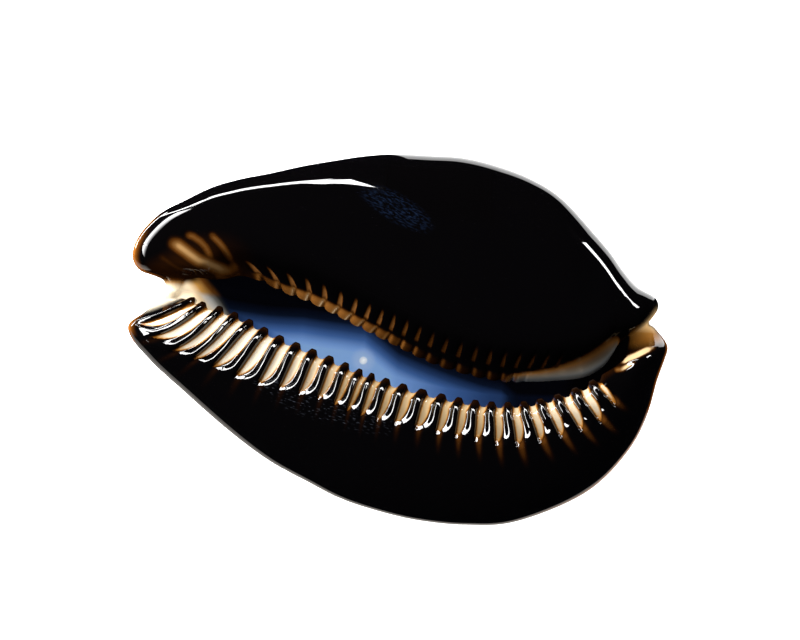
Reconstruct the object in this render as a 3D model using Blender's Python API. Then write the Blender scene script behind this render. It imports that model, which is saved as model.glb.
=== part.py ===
"""Cowrie shell, one natural piece, lying on its back with the aperture facing up.

The body is drawn as a ring of profiles.  A ring position u runs once round the shell in tooth
steps: 0 is the front canal, 2 to 27 are the teeth of the outer lip, 32.5 is the rear canal, and
41 to 62 are the teeth of the inner lip.  Each profile starts inside on the back of the shell,
climbs the inner wall, turns round the lip, crosses the base to the outline and comes down the
outside to the small flat it rests on.
"""
import math

import bmesh
import bpy
import numpy as np

# Driving dimensions, millimetres (the model itself is in metres).
MM = 0.001
TOP = 41.0                 # height of the base over the resting flat
BASE_ARCH = 2.2            # fall of the base towards each end
LENGTH_HALF = 40.0
WALL_BACK = 2.6            # inner floor over the resting flat
FLAT_SINK = 0.6            # how far the dome would reach under the flat
INNER_RISE = 3.6           # inner wall top under the outline
BASE_POWER = 2.3           # how square the base runs into the outline
DOME_POWER = 0.84          # under 1 the back is fuller than an ellipse
NOSE = 2.2                 # length of the rounded lip nose under the edge
LIP_DROP = 2.6             # outer lip edge under the base
LIP_ROLL = 4.2             # length of the roll over the outer lip
COLUMELLA_ROLL = 8.0       # length of the roll over the inner lip
TOOTH_DEPTH = 0.85         # outer lip grooves
BEAD_DEPTH = 0.55          # notches between the beads of the inner lip
MARK_DEPTH = 0.42          # short grooves on the inner lip's shoulder
FOLD_DEPTH = 0.55          # folds at both ends
FLANGE_DEPTH = 6.0         # height of the callus flange
POLE = (0.8, 1.5)          # resting point, under the centre of mass

STEPS = 68                 # tooth steps round the ring
COLUMNS_PER_STEP = 4

# Edge of the lips seen from above: u, x, y.
EDGE = [
    (0, -33.4, 4.9), (0.5, -33.8, 4.0), (1, -34.0, 3.6), (1.5, -32.8, 3.7), (2, -31.1, 4.0),
    (3, -29.4, 3.4), (4, -26.8, 2.9), (6, -22.1, 1.2), (8, -17.4, -0.9), (10, -12.4, -2.6),
    (12, -7.4, -4.3), (13, -5.3, -5.1), (14, -3.5, -5.6), (16, 1.3, -6.9), (18, 7.1, -8.0),
    (20, 12.1, -8.6), (22, 16.9, -8.6), (24, 21.6, -7.8), (26, 26.6, -5.9), (27, 29.1, -4.6),
    (28, 31.1, -3.4), (30, 33.7, -1.3), (31, 34.6, 0.0), (32, 35.0, 1.6), (33, 34.9, 2.4),
    (34, 34.2, 2.3), (35, 33.5, 1.7), (36, 32.8, 0.8), (37, 32.0, -0.8), (38, 30.8, -2.6),
    (39, 28.8, -4.0), (41, 23.4, -5.1), (43, 19.2, -5.5), (45, 15.5, -5.6), (47, 11.1, -5.0),
    (49, 6.2, -3.9), (51, 2.0, -2.3), (53, -1.7, -0.7), (55, -5.7, 1.0), (57, -9.5, 2.7),
    (59, -13.6, 4.4), (61, -18.0, 5.8), (62, -20.6, 6.9), (63, -23.8, 7.6), (64, -26.2, 7.0),
    (65, -28.3, 6.8), (66, -30.6, 6.9), (67, -32.8, 6.5), (67.5, -33.2, 5.8),
]
# A point each profile passes on its way over the base: u, x, y.
SHOULDER = [
    (2, -36.6, 0.8), (3, -35.7, -1.6), (4, -32.9, -3.5), (6, -27.6, -5.9), (8, -20.9, -8.3),
    (10, -14.6, -9.2), (12, -9.2, -10.5), (14, -5.0, -11.3), (16, -0.1, -12.8),
    (18, 6.1, -14.1), (20, 12.0, -14.4), (22, 18.2, -14.8), (24, 25.2, -14.3),
    (26, 31.1, -11.6), (27, 33.0, -8.8), (28, 34.9, -5.8), (29, 36.2, -3.0), (30, 36.9, -1.1),
    (31, 37.6, 0.7), (32, 37.2, 2.8), (33, 36.6, 3.6), (34, 36.8, 4.4), (35, 35.7, 5.1),
    (36, 34.0, 5.3), (37, 32.5, 5.4), (38, 30.8, 5.2), (39, 28.6, 4.6),
    (41, 24.6, 1.6), (43, 20.5, 0.4), (45, 16.0, 0.2), (47, 11.7, 0.3), (49, 7.4, 0.7),
    (51, 3.2, 1.2), (53, -0.7, 2.6), (55, -4.4, 3.9), (57, -8.5, 5.9), (59, -13.7, 8.6),
    (61, -19.6, 10.2), (62, -23.0, 11.2), (63, -26.6, 11.0), (64, -30.2, 10.6),
    (65, -32.8, 9.2), (66, -34.8, 7.9), (67, -35.1, 6.8), (68, -35.0, 4.9), (69, -36.0, 3.1),
]
# Outline of the shell seen from above: u, x, y.
OUTLINE = [
    (0, -35.6, 4.9), (0.5, -36.2, 3.4), (1, -36.9, 2.6), (1.5, -38.5, 1.1), (2, -40.2, -0.3),
    (3, -39.9, -2.7), (4, -37.4, -5.4), (6, -31.6, -10.2), (8, -24.6, -15.6),
    (10, -18.3, -19.7), (12, -12.1, -22.6), (14, -7.5, -24.6), (16, -2.5, -26.0),
    (18, 4.2, -27.2), (20, 11.8, -27.5), (22, 19.4, -26.5), (24, 29.1, -21.8),
    (26, 34.9, -15.7), (27, 36.8, -12.4), (28, 38.2, -8.3), (29, 39.1, -4.0), (30, 40.0, -0.9),
    (31, 40.3, 1.3), (32, 38.5, 3.7), (33, 37.5, 4.6), (34, 38.6, 6.7), (35, 37.9, 8.4),
    (36, 35.2, 9.8), (37, 33.0, 12.0), (38, 30.9, 14.6), (39, 28.6, 17.0), (41, 23.2, 22.2),
    (43, 18.2, 25.0), (45, 12.7, 26.7), (47, 7.8, 27.5), (49, 3.0, 27.5), (51, -1.8, 27.4),
    (53, -6.4, 26.8), (55, -11.0, 25.8), (57, -15.9, 24.6), (59, -20.8, 23.1),
    (61, -26.2, 21.6), (62, -29.3, 20.4), (63, -33.1, 18.2), (64, -37.1, 15.8),
    (65, -39.9, 12.2), (66, -40.3, 8.7), (66.5, -39.2, 7.4), (67, -37.2, 6.8),
    (67.5, -35.9, 6.2),
]
# Top of the inner wall seen from above: u, x, y.
INNER = [
    (0, -28.5, 4.6), (1, -29.0, 3.4), (2, -29.3, 2.0), (3, -29.9, 0.2), (4, -30.0, -2.4),
    (6, -26.6, -7.6), (8, -21.4, -12.4), (10, -16.2, -16.2), (12, -10.9, -18.9),
    (14, -6.8, -20.9), (16, -2.3, -22.3), (18, 3.8, -23.4), (20, 10.7, -23.7),
    (22, 17.6, -22.7), (24, 25.2, -18.8), (26, 30.1, -13.6), (27, 31.6, -10.2), (28, 32.5, -6.6),
    (29, 32.8, -3.9), (30, 32.7, -1.9), (31, 32.5, -0.4), (32, 32.5, 0.8), (33, 32.7, 2.0),
    (34, 32.8, 3.2), (35, 32.4, 4.4), (36, 31.6, 5.8), (37, 30.3, 7.8), (38, 28.6, 10.2),
    (39, 26.6, 12.8), (41, 21.4, 18.0), (43, 16.7, 20.9), (45, 11.7, 22.6), (47, 7.2, 23.4),
    (49, 2.8, 23.5), (51, -1.7, 23.4), (53, -6.1, 22.8), (55, -10.4, 21.8), (57, -14.9, 20.6),
    (59, -19.3, 19.0), (61, -23.6, 17.0), (62, -25.8, 15.6), (63, -27.8, 13.6),
    (64, -29.1, 11.2), (65, -29.3, 9.0), (66, -29.0, 7.2), (67, -28.6, 5.8),
]
# Heights under the arched base: u, base edge, outline under it, ceiling of the lip's underside.
FALLS = [
    (0, 10.4, 2.2, 1.4), (0.5, 9.3, 2.4, 1.6), (1, 6.0, 3.0, 3.0), (1.5, 2.6, 3.8, 5.0),
    (2, 1.0, 4.6, 6.4), (3, 0.2, 5.2, 6.6), (4, 0.0, 6.2, 6.4), (8, 0.0, 7.5, 6.0),
    (20, 0.0, 7.5, 6.0), (26, 0.0, 7.0, 6.0), (28, 0.2, 6.0, 6.2), (30, 0.8, 5.0, 6.0),
    (31, 2.0, 4.2, 5.0), (32, 6.4, 3.0, 2.0), (33, 7.4, 2.6, 1.6), (34, 3.0, 4.2, 4.6),
    (35, 1.0, 5.4, 6.6), (37, 0.2, 7.2, 8.0), (41, 0.0, 8.5, 9.0), (59, 0.0, 8.5, 9.0),
    (63, 0.0, 7.0, 8.4), (65, 0.3, 5.6, 7.6), (66, 1.2, 4.8, 6.4), (67, 5.6, 3.0, 3.0),
    (67.5, 8.8, 2.4, 1.8),
]
# How much of the lip's full roll is left: u, share of its depth.
ROLL_SHARE = [
    (0, 0.30), (1, 0.45), (2, 0.9), (3, 1.0), (29, 1.0), (31, 0.7), (32, 0.35), (33, 0.30),
    (34, 0.5), (35, 0.7), (37, 0.95), (39, 1.0), (63, 1.0), (65, 0.85), (66, 0.7), (67, 0.45),
]
# How much a profile belongs to the inner lip: u, share.
INNER_LIP = [(0, 0.0), (32, 0.0), (35, 0.35), (38, 0.9), (40, 1.0), (62, 1.0), (65, 0.5), (67, 0.0)]
# How far the flange stands out over the flank: u, share of the radius.
WAIST = [(0, 0.06), (4, 0.05), (10, 0.02), (22, 0.02), (28, 0.035), (33, 0.05), (38, 0.035),
         (46, 0.02), (58, 0.02), (64, 0.05)]
# Length of the outer lip's grooves from the edge outwards: u, millimetres.
GROOVE = [(2, 8.3), (4, 9.3), (6, 8.1), (8, 7.3), (10, 5.8), (12, 5.0), (16, 5.0), (18, 5.4),
          (20, 5.6), (22, 7.0), (24, 8.0), (26, 6.8), (27.5, 4.0), (30, 3.0)]
# Roll over the inner lip: share of the roll, distance from the edge, height.
COLUMELLA_ROLL_SHAPE = [
    (0.0, 0.0, -6.2), (0.15, 0.5, -5.1), (0.35, 1.8, -4.2), (0.5, 3.1, -2.5),
    (0.65, 4.2, -1.0), (0.8, 5.5, -0.3), (1.0, 8.0, 0.0),
]
# Folds at both ends, seen from above: half width, then the points they run through.
FOLDS = [
    (0.55, [(-35.4, 11.8), (-33.5, 11.2), (-31.7, 10.1), (-29.7, 9.2), (-27.4, 8.5), (-24.9, 8.2)]),
    (0.50, [(-33.2, 13.5), (-31.4, 12.8), (-29.8, 11.7), (-29.0, 10.4), (-28.1, 9.0)]),
    (0.45, [(-28.9, 13.5), (-27.3, 12.1), (-26.3, 11.1), (-25.5, 9.8)]),
    (0.50, [(34.3, -1.0), (37.0, 0.4), (39.4, 1.4)]),
    (0.45, [(33.4, -2.2), (35.8, -1.4)]),
]


def gather(table):
    knots = np.array([row[0] for row in table], float)
    values = np.array([row[1:] for row in table], float)
    return knots, values


def round_curve(table, u, even=False):
    """Values at ring positions u on the closed curve through the table; even keeps out humps."""
    knots, values = gather(table)
    shift = knots[0]
    gap = np.append(knots[1:], knots[0] + STEPS) - knots
    rise = (np.roll(values, -1, axis=0) - values) / gap[:, None]
    before = np.roll(rise, 1, axis=0)
    gap_before = np.roll(gap, 1)
    if even:
        same = before * rise > 0
        total = np.where(same, before + rise, 1.0)
        slope = np.where(same, 2 * before * rise / total, 0.0)
    else:
        slope = before * gap[:, None] + rise * gap_before[:, None]
        slope = slope / (gap + gap_before)[:, None]
    place = np.mod(u - shift, STEPS) + shift
    i = np.clip(np.searchsorted(knots, place, side="right") - 1, 0, len(knots) - 1)
    j = (i + 1) % len(knots)
    h = gap[i][:, None]
    f = ((place - knots[i]) / gap[i])[:, None]
    start = values[i] * (1 + 2 * f) * (1 - f) ** 2 + slope[i] * h * f * (1 - f) ** 2
    end = values[j] * f * f * (3 - 2 * f) - slope[j] * h * f * f * (1 - f)
    return start + end


def open_curve(table, q):
    """Values at position q on the curve through a table that doesn't close."""
    knots, values = gather(table)
    slope = np.gradient(values, knots, axis=0)
    i = int(np.clip(np.searchsorted(knots, q, side="right") - 1, 0, len(knots) - 2))
    h = knots[i + 1] - knots[i]
    f = (q - knots[i]) / h
    start = values[i] * (1 + 2 * f) * (1 - f) ** 2 + slope[i] * h * f * (1 - f) ** 2
    end = values[i + 1] * f * f * (3 - 2 * f) - slope[i + 1] * h * f * f * (1 - f)
    return start + end


def ease(low, high, value):
    f = np.clip((value - low) / (high - low), 0.0, 1.0)
    return f * f * (3 - 2 * f)


def to_lines(x, y, points):
    """Distance from each point to a line of points, and how far along the line it falls."""
    best = np.full(x.shape, 1e9)
    along = np.zeros(x.shape)
    done = 0.0
    lengths = [math.dist(a, b) for a, b in zip(points, points[1:])]
    for (ax, ay), (bx, by), length in zip(points, points[1:], lengths):
        f = ((x - ax) * (bx - ax) + (y - ay) * (by - ay)) / length ** 2
        f = np.clip(f, 0.0, 1.0)
        away = np.hypot(x - ax - f * (bx - ax), y - ay - f * (by - ay))
        nearer = away < best
        best = np.where(nearer, away, best)
        along = np.where(nearer, (done + f * length) / sum(lengths), along)
        done += length
    return best, along


class Ring:
    """Everything the profiles need, worked out once for a set of ring positions."""

    def __init__(self, u):
        self.u = u
        self.edge = round_curve(EDGE, u)
        self.shoulder = round_curve(SHOULDER, u)
        self.outline = round_curve(OUTLINE, u)
        self.inner = round_curve(INNER, u)
        falls = round_curve(FALLS, u, even=True)
        arch = TOP - BASE_ARCH * ((self.edge[:, 0] - 5.0) / LENGTH_HALF) ** 2
        self.z_base = arch - falls[:, 0]
        self.z_outline = self.z_base - falls[:, 1]
        self.z_ceiling = self.z_base - falls[:, 2]
        self.z_inner = np.minimum(self.z_outline - INNER_RISE, self.z_ceiling - 2.5)
        self.share = round_curve(ROLL_SHARE, u, even=True)[:, 0]
        self.inner_lip = round_curve(INNER_LIP, u, even=True)[:, 0]
        self.waist = round_curve(WAIST, u, even=True)[:, 0]
        self.smooth_outline = self.soften(5.0)
        near = np.hypot(*(self.shoulder - self.edge).T)
        far = np.hypot(*(self.outline - self.shoulder).T)
        self.width = near + far
        t = near / self.width
        bend = self.shoulder - self.edge * ((1 - t) ** 2)[:, None] - self.outline * (t ** 2)[:, None]
        self.bend = bend / (2 * t * (1 - t))[:, None]
        roll = LIP_ROLL + (COLUMELLA_ROLL - LIP_ROLL) * self.inner_lip
        self.roll = np.minimum(roll, 0.55 * self.width)

    def soften(self, reach):
        """The outline with its two notches smoothed away."""
        total = np.zeros(self.outline.shape)
        weights = 0.0
        for k in range(-12, 13):
            weight = math.exp(-(k / 12.0 * 2.2) ** 2)
            total += weight * round_curve(OUTLINE, self.u + reach * k / 12.0)
            weights += weight
        return total / weights

    def on_base(self, t):
        t = t[:, None]
        return self.edge * (1 - t) ** 2 + self.bend * 2 * t * (1 - t) + self.outline * t * t

    def base_height(self, t):
        left = np.clip(1 - t ** BASE_POWER, 0.0, 1.0) ** (1 / BASE_POWER)
        return self.z_outline + (self.z_base - self.z_outline) * left

    def point(self, v):
        """Point of every profile at v: 0-1 inner wall, 1-2 underside, 2-3 nose, 3-4 roll,
        4-5 base, 5-6 outside."""
        part = min(int(v), 5)
        q = v - part
        if part == 0:
            angle = (1 - q) * math.pi / 2
            flat = np.array(POLE) + (self.inner - POLE) * math.cos(angle)
            z = WALL_BACK + (self.z_inner - WALL_BACK) * (1 - math.sin(angle))
            return np.column_stack([flat, z])
        reach = np.hypot(*(self.edge - self.inner).T)
        nose = 1 - np.minimum(NOSE, 0.45 * reach) / reach
        z_edge = self.base_height(np.zeros(self.u.shape))
        drop = LIP_DROP + (6.2 - LIP_DROP) * self.inner_lip
        z_edge = z_edge - drop * self.share
        z_ceiling = np.minimum(self.z_ceiling, z_edge - 0.5)
        if part == 1:
            f = nose * (1 - math.cos(q * math.pi / 2))
            z = self.z_inner + (z_ceiling - self.z_inner) * math.sin(q * math.pi / 2)
            return np.column_stack([self.inner + (self.edge - self.inner) * f[:, None], z])
        if part == 2:
            f = nose + (1 - nose) * math.sin(q * math.pi / 2)
            z = z_ceiling + (z_edge - z_ceiling) * (1 - math.cos(q * math.pi / 2))
            return np.column_stack([self.inner + (self.edge - self.inner) * f[:, None], z])
        if part == 3:
            plain = np.array([1 - math.cos(q * math.pi / 2), -(1 - math.sin(q * math.pi / 2))])
            shape = open_curve(COLUMELLA_ROLL_SHAPE, q)
            away = plain[0] * (1 - self.inner_lip) + shape[0] / COLUMELLA_ROLL * self.inner_lip
            down = plain[1] * LIP_DROP * (1 - self.inner_lip) + shape[1] * self.inner_lip
            t = away * self.roll / self.width
            return np.column_stack([self.on_base(t), self.base_height(t) + down * self.share])
        if part == 4:
            first = self.roll / self.width
            t = first + (1 - first) * math.sin(q * math.pi / 2)
            return np.column_stack([self.on_base(t), self.base_height(t)])
        deepest = np.arcsin(1 - FLAT_SINK / (self.z_outline + FLAT_SINK))
        angle = deepest * q
        z = (self.z_outline + FLAT_SINK) * (1 - np.sin(angle)) - FLAT_SINK
        swap = ease(0.0, 0.6, angle)[:, None]
        ring = self.outline * (1 - swap) + self.smooth_outline * swap
        gone = 1 - np.exp(-((self.z_outline - z) / FLANGE_DEPTH) ** 2)
        size = np.cos(angle) ** DOME_POWER * (1 - self.waist * gone)
        return np.column_stack([np.array(POLE) + (ring - POLE) * size[:, None], z])

    def relief(self, v, x, y):
        """How far teeth and folds move the surface along its normal at v."""
        if v <= 2.0 or v >= 5.0:
            return np.zeros(self.u.shape)
        away = np.hypot(x - self.edge[:, 0], y - self.edge[:, 1]) if v > 3 else np.zeros(x.shape)
        inside = 1.0 if v > 3 else float(ease(2.0, 2.9, np.array(v)))
        turn = 2 * math.pi * self.u
        outer = ease(1.5, 2.2, self.u) * (1 - ease(27.3, 28.2, self.u))
        length = round_curve(GROOVE, self.u, even=True)[:, 0]
        fade = 1 - ease(0.7, 1.08, away / length)
        move = -TOOTH_DEPTH * (0.5 - 0.5 * np.cos(turn)) * fade * inside * outer
        lip = ease(40.4, 41.4, self.u) * (1 - ease(62.0, 62.9, self.u))
        bead = 0.5 + 0.5 * np.cos(turn)
        move -= BEAD_DEPTH * bead * (1 - ease(0.4, 1.9, away)) * inside * lip
        if v > 3:
            mark = np.exp(-(np.abs(self.u - np.round(self.u)) / 0.22) ** 2)
            window = ease(1.6, 3.0, away) * (1 - ease(4.6, 6.0, away))
            move -= MARK_DEPTH * mark * window * lip
            for half, points in FOLDS:
                off, along = to_lines(x, y, points)
                tail = ease(0.0, 0.15, along) * (1 - ease(0.9, 1.0, along)) + 0.0
                move -= FOLD_DEPTH * np.exp(-(off / half) ** 2) * tail
        return move


def rows_of_points(ring, rows):
    """Every row of profile points, moved by the relief along the surface normals."""
    plain = np.array([ring.point(v) for v in rows])
    along = np.roll(plain, -1, axis=1) - np.roll(plain, 1, axis=1)
    across = np.gradient(plain, axis=0)
    normal = np.cross(across, along)
    length = np.linalg.norm(normal, axis=2, keepdims=True)
    normal = normal / np.maximum(length, 1e-9)
    moved = plain.copy()
    for k, v in enumerate(rows):
        shift = ring.relief(v, plain[k, :, 0], plain[k, :, 1])
        moved[k] += normal[k] * shift[:, None]
    return moved


def stitch(verts, faces, points, stride_of_row, close_first, close_last):
    """Rows of points joined into one skin; a row may keep only every second column of the last."""
    count = points.shape[1]
    ids = []
    for row, stride in zip(points, stride_of_row):
        line = []
        for k in range(0, count, stride):
            line.append(len(verts))
            verts.append(tuple(row[k]))
        ids.append(line)
    for lower, upper in zip(ids, ids[1:]):
        if len(lower) == len(upper):
            n = len(lower)
            for k in range(n):
                a, b = lower[k], lower[(k + 1) % n]
                c, d = upper[(k + 1) % n], upper[k]
                if (k % 2) == 0:
                    faces.append((a, b, c))
                    faces.append((a, c, d))
                else:
                    faces.append((a, b, d))
                    faces.append((b, c, d))
        elif len(upper) == 2 * len(lower):
            n = len(lower)
            for k in range(n):
                a, b = lower[k], lower[(k + 1) % n]
                c, d, e = upper[2 * k], upper[2 * k + 1], upper[(2 * k + 2) % (2 * n)]
                faces.append((a, d, c))
                faces.append((a, b, d))
                faces.append((b, e, d))
        else:
            n = len(upper)
            for k in range(n):
                c, d = upper[k], upper[(k + 1) % n]
                a, b, e = lower[2 * k], lower[2 * k + 1], lower[(2 * k + 2) % (2 * n)]
                faces.append((a, b, c))
                faces.append((b, d, c))
                faces.append((b, e, d))
    first = len(verts)
    verts.append(close_first)
    n = len(ids[0])
    for k in range(n):
        faces.append((first, ids[0][(k + 1) % n], ids[0][k]))
    last = len(verts)
    verts.append(close_last)
    n = len(ids[-1])
    for k in range(n):
        faces.append((last, ids[-1][k], ids[-1][(k + 1) % n]))


def remove_everything():
    for item in list(bpy.data.objects):
        bpy.data.objects.remove(item, do_unlink=True)
    for mesh in list(bpy.data.meshes):
        bpy.data.meshes.remove(mesh)


def shell_material():
    material = bpy.data.materials.new("shell_enamel")
    material.use_nodes = True
    shader = material.node_tree.nodes["Principled BSDF"]
    shader.inputs["Base Color"].default_value = (0.012, 0.008, 0.006, 1.0)
    shader.inputs["Roughness"].default_value = 0.14
    shader.inputs["Metallic"].default_value = 0.0
    return material


# Rows of the skin: place on the profile, and every how many columns one is kept.
ROWS = [
    (0.22, 16), (0.42, 8), (0.62, 8), (0.81, 8), (1.0, 8), (1.4, 4), (1.75, 4), (2.0, 2),
    (2.4, 2), (2.75, 1), (3.0, 1), (3.16, 1), (3.36, 1), (3.52, 1), (3.68, 1), (3.84, 1),
    (4.0, 1), (4.14, 1), (4.28, 2), (4.5, 2), (4.75, 4), (5.0, 4), (5.1, 4), (5.22, 4),
    (5.36, 4), (5.5, 8), (5.64, 8), (5.77, 8), (5.89, 8), (6.0, 16),
]


def build():
    remove_everything()
    columns = STEPS * COLUMNS_PER_STEP
    ring = Ring(np.arange(columns) / COLUMNS_PER_STEP)
    points = rows_of_points(ring, [v for v, _ in ROWS])
    points[-1, :, 2] = 0.0
    verts = []
    faces = []
    inner_pole = (POLE[0], POLE[1], WALL_BACK)
    outer_pole = (POLE[0], POLE[1], 0.0)
    stitch(verts, faces, points, [stride for _, stride in ROWS], inner_pole, outer_pole)
    mesh = bpy.data.meshes.new("shell")
    mesh.from_pydata([tuple(c * MM for c in vert) for vert in verts], [], faces)
    mesh.update()
    work = bmesh.new()
    work.from_mesh(mesh)
    if work.calc_volume(signed=True) < 0:
        bmesh.ops.reverse_faces(work, faces=work.faces)
    for face in work.faces:
        face.smooth = True
    work.to_mesh(mesh)
    work.free()
    shell = bpy.data.objects.new("shell", mesh)
    bpy.context.scene.collection.objects.link(shell)
    mesh.materials.append(shell_material())
    return shell


build()
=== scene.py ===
# %% [markdown]
# A cowrie shell seen at its base: two glossy black lips, a toothed slot between them, and a
# blue-grey hollow below.  The animal laid the enamel down in thin coats over the whole outside,
# which is why everything is smooth and shiny and why the lips curl inwards.  This lesson builds
# the shell as one skin drawn from a ring of profiles, then colours it with numbers worked out on
# that same skin, so that each colour sits exactly on the tooth or groove it belongs to.

# %% Load the fixed frame
import math

import bpy
import numpy as np
from mathutils import Matrix, Vector


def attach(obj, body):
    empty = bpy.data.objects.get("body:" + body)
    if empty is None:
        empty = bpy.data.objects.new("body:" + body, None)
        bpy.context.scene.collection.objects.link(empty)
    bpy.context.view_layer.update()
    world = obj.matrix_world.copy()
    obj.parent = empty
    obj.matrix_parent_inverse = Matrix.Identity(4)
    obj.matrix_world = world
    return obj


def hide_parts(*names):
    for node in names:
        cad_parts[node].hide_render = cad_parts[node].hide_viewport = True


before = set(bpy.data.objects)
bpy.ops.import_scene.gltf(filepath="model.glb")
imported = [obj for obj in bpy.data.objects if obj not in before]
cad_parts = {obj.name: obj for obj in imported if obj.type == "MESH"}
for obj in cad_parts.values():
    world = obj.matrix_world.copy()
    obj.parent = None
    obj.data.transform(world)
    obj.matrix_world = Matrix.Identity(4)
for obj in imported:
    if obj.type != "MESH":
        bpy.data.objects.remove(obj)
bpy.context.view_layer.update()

# %% [markdown]
# Every size below is in millimetres, because a shell is measured in millimetres; the skin is
# turned into metres at the very end.  The ring position u counts tooth steps once round the
# shell: 0 is the front canal, 2 to 27 are the teeth of the outer lip, 32.5 is the rear canal and
# 41 to 62 are the notches of the inner lip.  Counting in teeth, not in angles, keeps the columns
# of the mesh lined up with the ridges, so the ridges stay clean at any density.

# %% Driving sizes
MM = 0.001
STEPS = 68
# column numbers and their ring positions: closest over the outer teeth
COLUMN_MARKS = [(0, 0.0), (18, 1.5), (602, 28.0), (1088, 68.0)]
TOP = 41.0
BASE_ARCH = 2.2
LENGTH_HALF = 40.0
WALL_BACK = 2.6
FLAT_SINK = 0.6
INNER_RISE = 3.6
BASE_POWER = 2.3
DOME_POWER = 0.84
NOSE = 2.2
LIP_DROP = 2.6
LIP_ROLL = 4.2
COLUMELLA_ROLL = 8.0
COLUMELLA_DROP = 6.2
FLANGE_DEPTH = 6.0
POLE = np.array([0.8, 1.5])
print("columns round the ring:", COLUMN_MARKS[-1][0])

# %% [markdown]
# The shell's plan is three closed lines seen from above: the edge of the lips, a line part way
# out over the lips that steers the grooves, and the outline.  A fourth line is the top of the
# inner wall.  Each line is a short list of points a maker would mark on tracing paper, and a
# smooth closed curve runs through them.

# %% Lines seen from above: u, x, y
EDGE = [
    (0, -33.4, 4.9), (0.5, -33.8, 4.0), (1, -34.0, 3.6), (1.5, -32.8, 3.7), (2, -31.1, 4.0),
    (3, -29.4, 3.4), (4, -26.8, 2.9), (6, -22.1, 1.2), (8, -17.4, -0.9), (10, -12.4, -2.6),
    (12, -7.4, -4.3), (13, -5.3, -5.1), (14, -3.5, -5.6), (16, 1.3, -6.9), (18, 7.1, -8.0),
    (20, 12.1, -8.6), (22, 16.9, -8.6), (24, 21.6, -7.8), (26, 26.6, -5.9), (27, 29.1, -4.6),
    (28, 31.1, -3.4), (30, 33.7, -1.3), (31, 34.6, 0.0), (32, 35.0, 1.6), (33, 34.9, 2.4),
    (34, 34.2, 2.3), (35, 33.5, 1.7), (36, 32.8, 0.8), (37, 32.0, -0.8), (38, 30.8, -2.6),
    (39, 28.8, -4.0), (41, 23.4, -5.1), (43, 19.2, -5.5), (45, 15.5, -5.6), (47, 11.1, -5.0),
    (49, 6.2, -3.9), (51, 2.0, -2.3), (53, -1.7, -0.7), (55, -5.7, 1.0), (57, -9.5, 2.7),
    (59, -13.6, 4.4), (61, -18.0, 5.8), (62, -20.6, 6.9), (63, -23.8, 7.6), (64, -26.2, 7.0),
    (65, -28.3, 6.8), (66, -30.6, 6.9), (67, -32.8, 6.5), (67.5, -33.2, 5.8),
]
SHOULDER = [
    (2, -36.6, 0.8), (3, -35.7, -1.6), (4, -32.9, -3.5), (6, -27.6, -5.9), (8, -20.9, -8.3),
    (10, -14.6, -9.2), (12, -9.2, -10.5), (14, -5.0, -11.3), (16, -0.1, -12.8),
    (18, 6.1, -14.1), (20, 12.0, -14.4), (22, 18.2, -14.8), (24, 25.2, -14.3),
    (26, 31.1, -11.6), (27, 33.0, -8.8), (28, 34.9, -5.8), (29, 36.2, -3.0), (30, 36.9, -1.1),
    (31, 37.6, 0.7), (32, 37.2, 2.8), (33, 36.6, 3.6), (34, 36.8, 4.4), (35, 35.7, 5.1),
    (36, 34.0, 5.3), (37, 32.5, 5.4), (38, 30.8, 5.2), (39, 28.6, 4.6),
    (41, 24.6, 1.6), (43, 20.5, 0.4), (45, 16.0, 0.2), (47, 11.7, 0.3), (49, 7.4, 0.7),
    (51, 3.2, 1.2), (53, -0.7, 2.6), (55, -4.4, 3.9), (57, -8.5, 5.9), (59, -13.7, 8.6),
    (61, -19.6, 10.2), (62, -23.0, 11.2), (63, -26.6, 11.0), (64, -30.2, 10.6),
    (65, -32.8, 9.2), (66, -34.8, 7.9), (67, -35.1, 6.8), (68, -35.0, 4.9), (69, -36.0, 3.1),
]
OUTLINE = [
    (0, -35.6, 4.9), (0.5, -36.2, 3.4), (1, -36.9, 2.6), (1.5, -38.5, 1.1), (2, -40.2, -0.3),
    (3, -39.9, -2.7), (4, -37.4, -5.4), (6, -31.6, -10.2), (8, -24.6, -15.6),
    (10, -18.3, -19.7), (12, -12.1, -22.6), (14, -7.5, -24.6), (16, -2.5, -26.0),
    (18, 4.2, -27.2), (20, 11.8, -27.5), (22, 19.4, -26.5), (24, 29.1, -21.8),
    (26, 34.9, -15.7), (27, 36.8, -12.4), (28, 38.2, -8.3), (29, 39.1, -4.0), (30, 40.0, -0.9),
    (31, 40.3, 1.3), (32, 38.5, 3.7), (33, 37.5, 4.6), (34, 38.6, 6.7), (35, 37.9, 8.4),
    (36, 35.2, 9.8), (37, 33.0, 12.0), (38, 30.9, 14.6), (39, 28.6, 17.0), (41, 23.2, 22.2),
    (43, 18.2, 25.0), (45, 12.7, 26.7), (47, 7.8, 27.5), (49, 3.0, 27.5), (51, -1.8, 27.4),
    (53, -6.4, 26.8), (55, -11.0, 25.8), (57, -15.9, 24.6), (59, -20.8, 23.1),
    (61, -26.2, 21.6), (62, -29.3, 20.4), (63, -33.1, 18.2), (64, -37.1, 15.8),
    (65, -39.9, 12.2), (66, -40.3, 8.7), (66.5, -39.2, 7.4), (67, -37.2, 6.8),
    (67.5, -35.9, 6.2),
]
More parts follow.
